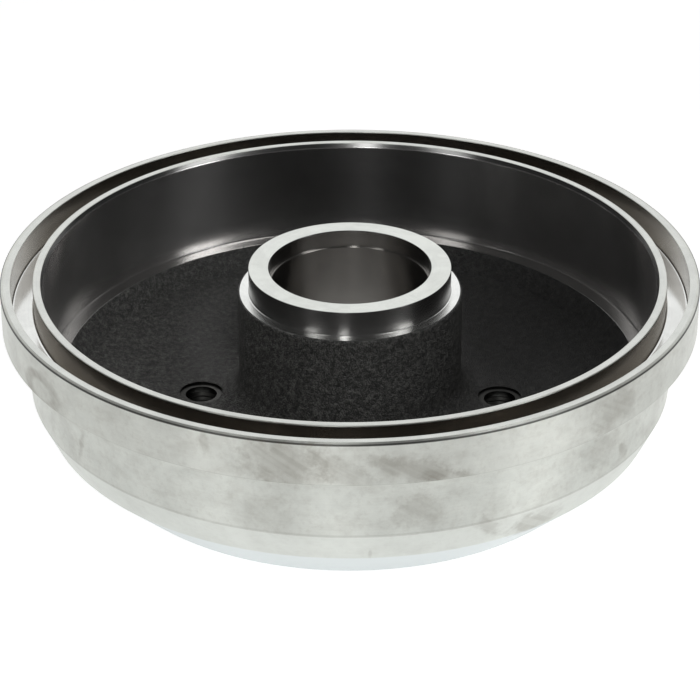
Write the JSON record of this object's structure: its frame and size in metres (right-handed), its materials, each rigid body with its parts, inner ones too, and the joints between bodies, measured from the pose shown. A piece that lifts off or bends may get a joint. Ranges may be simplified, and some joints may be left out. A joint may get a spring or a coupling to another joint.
{
  "type": "brake drum",
  "caption": "Rear brake drum with cast-in bearing hub: turned braking bore, grooved double rim, stepped bearing bore, tapped wheel-bolt holes and a wheel register.",
  "frame": {"origin": "centre of the wheel register's end face, on the drum's axis, the lowest plane of the part", "axes": "+Z along the drum's axis, from the wheel side to the open side; +X through one wheel-bolt hole"},
  "size_m": [0.2278, 0.2278, 0.069],
  "materials": {
    "cast_iron": "turned, with black as-cast surfaces on the web and hub"
  },
  "bodies": {
    "root": {"brake_drum": "cast_iron"}
  },
  "joints": []
}
